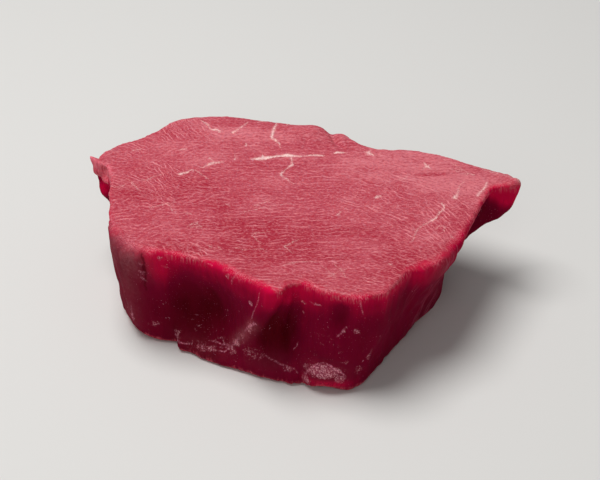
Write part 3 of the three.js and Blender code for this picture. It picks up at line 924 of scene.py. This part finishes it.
def beefMaterial():
    material = bpy.data.materials.new("rawBeef")
    material.use_nodes = True
    tree = material.node_tree
    tree.nodes.clear()
    start = Wire(tree, None)
    look = rawBeef

    place = start.out("TexCoord", pick="Object").scaled(1 / mm)
    drift = place.scaled(0.13).cloud().scaled(3.2)
    shiver = place.scaled(0.6).cloud().scaled(1.2)
    loose = place.moved(drift).moved(shiver)

    edgeOf, fromRim, tornOff = start.attribute("rim")
    frostAndSheen, paintedWallShading, cutToneAndSheen = start.attribute("paint")
    wornOff, rightWall, filmAndSheen = start.attribute("side")
    steep, slant, level = start.attribute("lay")

    # fibres of the cut, in four courses that cross over: pale threads and the dark gaps between them
    shares = (steep, slant, level, 1 - steep - slant - level)

    def threads(pitch, run, shift):  # mm from thread to thread, mm that a thread runs, mm aside
        pale, dark = 0.0, 0.0
        for (turn, tight), share in zip(lays.values(), shares):
            at = loose.turned(-turn).moved((shift + turn, shift, 0))
            _, across, _ = at.parts()
            wave = start.sum("PINGPONG", across / (pitch * tight), 0.5) * 2
            force = at.scaled((1 / run, 0.9 / pitch, 0.3)).noise(1.0, 0.5).between(0.42, 0.62)
            pale = wave.between(0.42, 0.0) * force * share + pale
            dark = wave.between(0.5, 1.0) * (1 - force) * share + dark
        return pale, dark

    patches = place.scaled(0.22).noise(2.0, 0.5).between(0.30, 0.62)
    sparse = place.scaled(0.12).noise(1.0, 0.5).between(0.48, 0.62)
    thread, gap = threads(1.4, 4.5, 0)
    hair, _ = threads(0.85, 3.0, 50)
    bold = thread * (0.16 + patches * 0.45 + sparse * 0.35)
    lines = start.sum("MAXIMUM", bold, hair * (0.52 - patches * 0.32))
    toEdge = {"feature": "DISTANCE_TO_EDGE"}
    cells = start.out("TexVoronoi", toEdge, Vector=loose.scaled((0.34, 0.5, 0.34)), Scale=1.0)
    web = cells.between(0.05, 0.0) * place.scaled(0.3).noise(1.0, 0.5).between(0.42, 0.6)
    lines = start.sum("MAXIMUM", lines * (1.0 + (steep + slant) * 0.4), web * (1 - level) * 0.5)
    dust = place.scaled((1.2, 2.5, 2.0)).noise(2.0, 0.7)

    # the edge between cut and wall, 1 on the cut faces and frayed at the rim
    droop = place.scaled(0.35).noise(2.0, 0.5) - 0.5
    hanging = place.scaled((2.6, 2.6, 0.2)).noise(2.0, 0.6) - 0.5
    ragged = edgeOf + 0.3 + droop * 3.0 + hanging * 3.0
    edge = ragged.between(-1.0 - wornOff * 4.0, 0.6 + wornOff * 2.0)

    # colour of the cut faces
    broad = place.scaled((0.055, 0.11, 0.07)).noise(3.0, 0.55) - 0.5
    # painted sheen and shade: paler at the back, darker at the front, over the cut's own tone
    tone = cutToneAndSheen + broad * 3.0
    cut = tone.between(-1.0, 0.1).paint(look["cutDeep"], look["cutMid"])
    cut = tone.between(0.0, 1.0).paint(cut, look["cutPinkAndSheen"])
    cut = (gap * 0.45).paint(cut, look["fibreDark"])
    cut = (dust.between(0.47, 0.70) * 0.50).paint(cut, look["fibreLight"])
    cut = (dust.between(0.50, 0.28) * 0.65).paint(cut, look["fibreDark"])
    cut = lines.paint(cut, look["fibreLight"])
    # painted light on the torn face, over its own pink fibres and red streaks
    cut = (tornOff * (0.3 + hanging.between(-0.02, 0.10) * 0.6)).paint(cut, look["fringe"])
    cut = (tornOff * hanging.between(-0.02, -0.12) * 0.5).paint(cut, look["wallPaintedLight"])
    # painted light: the cut turns red towards the rim, like the lit rim edge
    cut = (fromRim.between(1.2, -0.6) * (1 - wornOff) * 0.32).paint(cut, look["rimPaintedLight"])

    # colour of the wall, with streaks down it: painted light in a band under the rim and painted shade
    # in the hollows
    upright = place.scaled((0.75, 0.75, 0.07)).noise(3.0, 0.6) - 0.5
    lengthwise = start.stored("grain").scaled((0.05, 1.5, 0.04)).noise(3.0, 0.6) - 0.5
    streaks = upright * (1 - rightWall) + lengthwise * rightWall
    paintedRimLight = fromRim.between(-11.0, -0.5) * 0.55 + fromRim.between(-4.0, -0.5) * 0.32
    glow = paintedWallShading + paintedRimLight + streaks * (0.3 + fromRim.between(-6.0, -0.5) * 0.4) + broad * 0.6
    glow = glow + hanging * paintedWallShading.between(0.3, 0.9) * 2.5
    wall = glow.between(-0.8, 0.15).paint(look["wallPaintedShade"], look["wallPaintedHalfLight"])
    wall = glow.between(0.0, 1.0).paint(wall, look["wallPaintedLight"])

    # soft film, partly painted sheen, and frost in grains, partly painted reflection
    crust = place.scaled(1.1).noise(4.0, 0.7)
    grit = place.scaled(2.6).noise(2.0, 0.7).between(0.48, 0.62)
    # painted sheen in the soft film
    wall = (filmAndSheen * (0.55 + crust.between(0.35, 0.65) * 0.45)).paint(wall, look["film"])
    wall = (rightWall * lengthwise.between(0.03, 0.10) * 0.45).paint(wall, look["paintedSilverSheen"])
    frostSheenMask = (frostAndSheen + (crust - 0.5) * 1.6).between(0.35, 0.80)
    wall = (frostSheenMask * 0.38).paint(wall, look["paintedSilverSheen"])
    paintedSilverSheen = frostSheenMask * grit
    wall = (paintedSilverSheen * 0.72).paint(wall, look["speckAndGlint"])

    # thin pale lines, the dark line of painted shade in the crease, and specks and shreds that are
    # partly painted glints
    wander = (place.scaled(0.8).noise(2.0, 0.5) - 0.5) * 0.9
    breaks = place.scaled(0.9).noise(2.0, 0.6).between(0.34, 0.60)
    markAside, markHalf, _ = start.attribute("mark")
    mark = (markHalf + 0.05 - abs(markAside + wander * 0.8)).between(-0.2, 0.12) * (0.15 + grit * 0.85)
    wall = (mark * (0.25 + breaks * 0.4)).paint(wall, look["shred"])
    creaseAside, creaseHalf, _ = start.attribute("crease")
    crease = (creaseHalf + 0.1 - abs(creaseAside + wander)).between(-0.25, 0.15)
    crowd = place.scaled(0.2).noise(1.0, 0.5).between(0.42, 0.62)
    shreds = place.scaled((1.5, 1.5, 1.1)).noise(3.0, 0.6).between(0.69, 0.74)
    dots = place.scaled((3.2, 3.2, 3.8)).noise(1.0, 0.5).between(0.72, 0.78)
    # specks: partly bits of tissue, partly painted glints of the wet wall
    specksAndGlints = start.sum("MAXIMUM", shreds, dots) * crowd
    wall = (specksAndGlints * 0.65).paint(wall, look["shred"])

    # cut and wall together, with fibres that hang over the rim
    colour = edge.paint(wall, cut)
    hung = fromRim.between(-2.8, -0.4) * fromRim.between(0.6, -0.4)
    hung = hung * place.scaled(0.2).noise(1.0, 0.5).between(0.36, 0.60)
    ends = place.scaled((4.4, 4.4, 0.25)).noise(1.0, 0.5).between(0.46, 0.66)
    colour = (hung * ends * 0.5).paint(colour, look["fringe"])
    # painted shade along the crease
    colour = (crease * 0.6).paint(colour, look["wallPaintedShade"])

    # fat seams, ragged along their edges and paler where they are wide
    frayed = (place.scaled(2.0).noise(3.0, 0.65) - 0.5) * 0.8
    jitter = (place.scaled(2.6).noise(1.0, 0.5) - 0.5) * 1.1
    marbled = 0.0
    for name in ("seam", "branch"):
        offset, half, _ = start.attribute(name)
        aside = abs(offset + wander + jitter)
        inside = half * 0.8 - aside + frayed * (half + 0.25)
        core = inside.between(-0.16, 0.10) * (0.3 + breaks * 0.7) * (half + 0.45).between(0.2, 0.9)
        veil = (half * 3.0 - aside + frayed * 1.6).between(-0.1, 0.8) * 0.34
        marbled = start.sum("MAXIMUM", marbled, start.sum("MAXIMUM", core, veil))
    colour = (marbled * 0.92).paint(colour, look["fat"])

    # sheen and fine relief
    roughness = 0.55 + (1 - edge) * 0.15 - specksAndGlints * 0.2
    wet = edge * (lines * 0.35 + 0.12) + (1 - edge) * (specksAndGlints * 0.8 + paintedSilverSheen * 0.3 + mark * 0.3)
    fine = place.scaled((2.2, 2.2, 0.5)).noise(3.0, 0.6)
    bumps = edge * dust * 0.8 + (1 - edge) * (fine * 0.35 + specksAndGlints * 0.6 + paintedSilverSheen * 0.4)
    normal = start.out("Bump", Strength=0.6, Distance=0.25 * mm, Height=bumps)

    shader = start.node("BsdfPrincipled", Base_Color=colour, Roughness=roughness, Coat_Weight=wet,
                        Normal=normal)
    for name, value in moist.items():
        shader.inputs[name].default_value = value
    finish = tree.nodes.new("ShaderNodeOutputMaterial")
    tree.links.new(shader.outputs[0], finish.inputs["Surface"])
    return material


piece.data.materials.append(beefMaterial())
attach(piece, "root")
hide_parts("steak")
print("raw beef made")


# stage and light
stage = {
    "floorSize": 3.0,  # m
    "floor": (0.66, 0.65, 0.63, 1),
    "ambient": 0.17,
    "key": {"place": (-0.22, 0.06, 0.80), "size": 0.50, "power": 6.6},
    "fill": {"place": (-0.10, -0.75, 0.60), "size": 0.5, "power": 1.3},
}


def makeFloor():
    work = bmesh.new()
    bmesh.ops.create_circle(work, cap_ends=True, segments=96, radius=stage["floorSize"])
    mesh = bpy.data.meshes.new("floor")
    work.to_mesh(mesh)
    work.free()
    floor = bpy.data.objects.new("floor", mesh)
    bpy.context.scene.collection.objects.link(floor)
    material = bpy.data.materials.new("paleFloor")
    material.use_nodes = True
    shader = material.node_tree.nodes["Principled BSDF"]
    shader.inputs["Base Color"].default_value = stage["floor"]
    shader.inputs["Roughness"].default_value = 0.8
    shader.inputs["Specular IOR Level"].default_value = 0.2
    mesh.materials.append(material)


def makeLight(name):
    plan = stage[name]
    data = bpy.data.lights.new(name, "AREA")
    data.shape = "DISK"
    data.size = plan["size"]
    data.energy = plan["power"]
    lamp = bpy.data.objects.new(name, data)
    lamp.location = plan["place"]
    lamp.rotation_mode = "QUATERNION"
    lamp.rotation_quaternion = (-Vector(plan["place"])).to_track_quat("-Z", "Y")
    bpy.context.scene.collection.objects.link(lamp)


makeFloor()
makeLight("key")
makeLight("fill")
world = bpy.data.worlds.new("studio")
world.use_nodes = True
sky = world.node_tree.nodes["Background"]
sky.inputs["Color"].default_value = (1, 1, 1, 1)
sky.inputs["Strength"].default_value = stage["ambient"]
bpy.context.scene.world = world
bpy.context.scene.view_settings.view_transform = "Standard"
print("stage lit")
